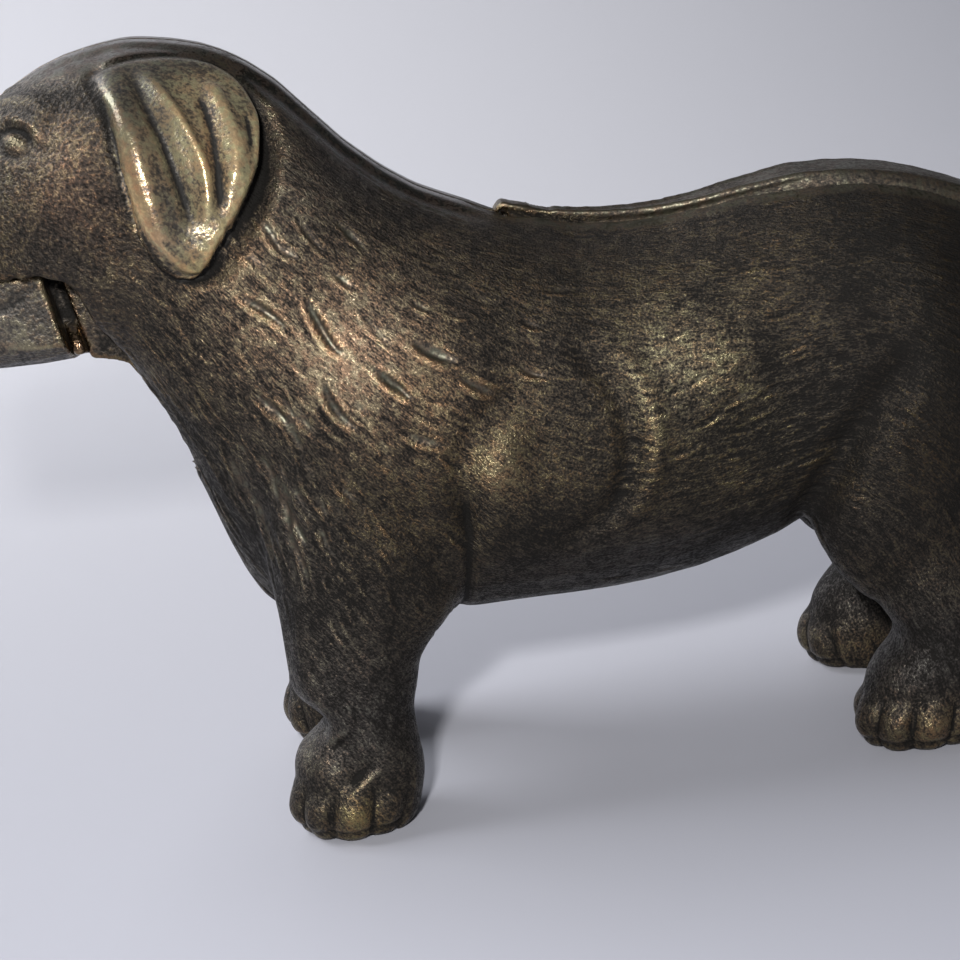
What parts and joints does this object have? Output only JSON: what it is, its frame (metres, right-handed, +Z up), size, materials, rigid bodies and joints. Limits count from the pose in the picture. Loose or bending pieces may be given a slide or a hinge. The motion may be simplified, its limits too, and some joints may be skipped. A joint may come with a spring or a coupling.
{
  "type": "lever nutcracker",
  "caption": "Standing dog in bronzed cast iron. Its hollow body shells trap a lever that is lower jaw in front and tail behind, so lifting the tail opens the jaw for a nut.",
  "frame": {"origin": "on the floor, under the middle of the overall length, in the plane between the two body halves", "axes": "+Z up, the nose points along -X and the tail along +X, the dog's left side faces -Y"},
  "size_m": [0.27, 0.056, 0.1224],
  "materials": {
    "bronzed_iron": "cast iron with a dark bronze finish, rubbed to copper and brass on the high spots",
    "lever_iron": "the same dark bronze finish, greyer on the jaw and worn to copper along the lever's edges",
    "pin_steel": "plain steel rod, oiled",
    "screw_steel": "slotted steel screws, darkened"
  },
  "bodies": {
    "body": {"body_left_half": "bronzed_iron", "body_right_half": "bronzed_iron", "pivot_pin": "pin_steel", "body_screw_head": "screw_steel", "body_screw_shoulder": "screw_steel", "body_screw_belly": "screw_steel", "body_screw_thigh": "screw_steel"},
    "lever": {"jaw_and_tail_lever": "lever_iron"}
  },
  "joints": [
    {"name": "tail_lift", "type": "hinge", "parent": "body", "child": "lever", "pos_m": [-0.078, 0, 0.075], "axis": [0, -1, 0], "range_deg": [0, 34]}
  ]
}
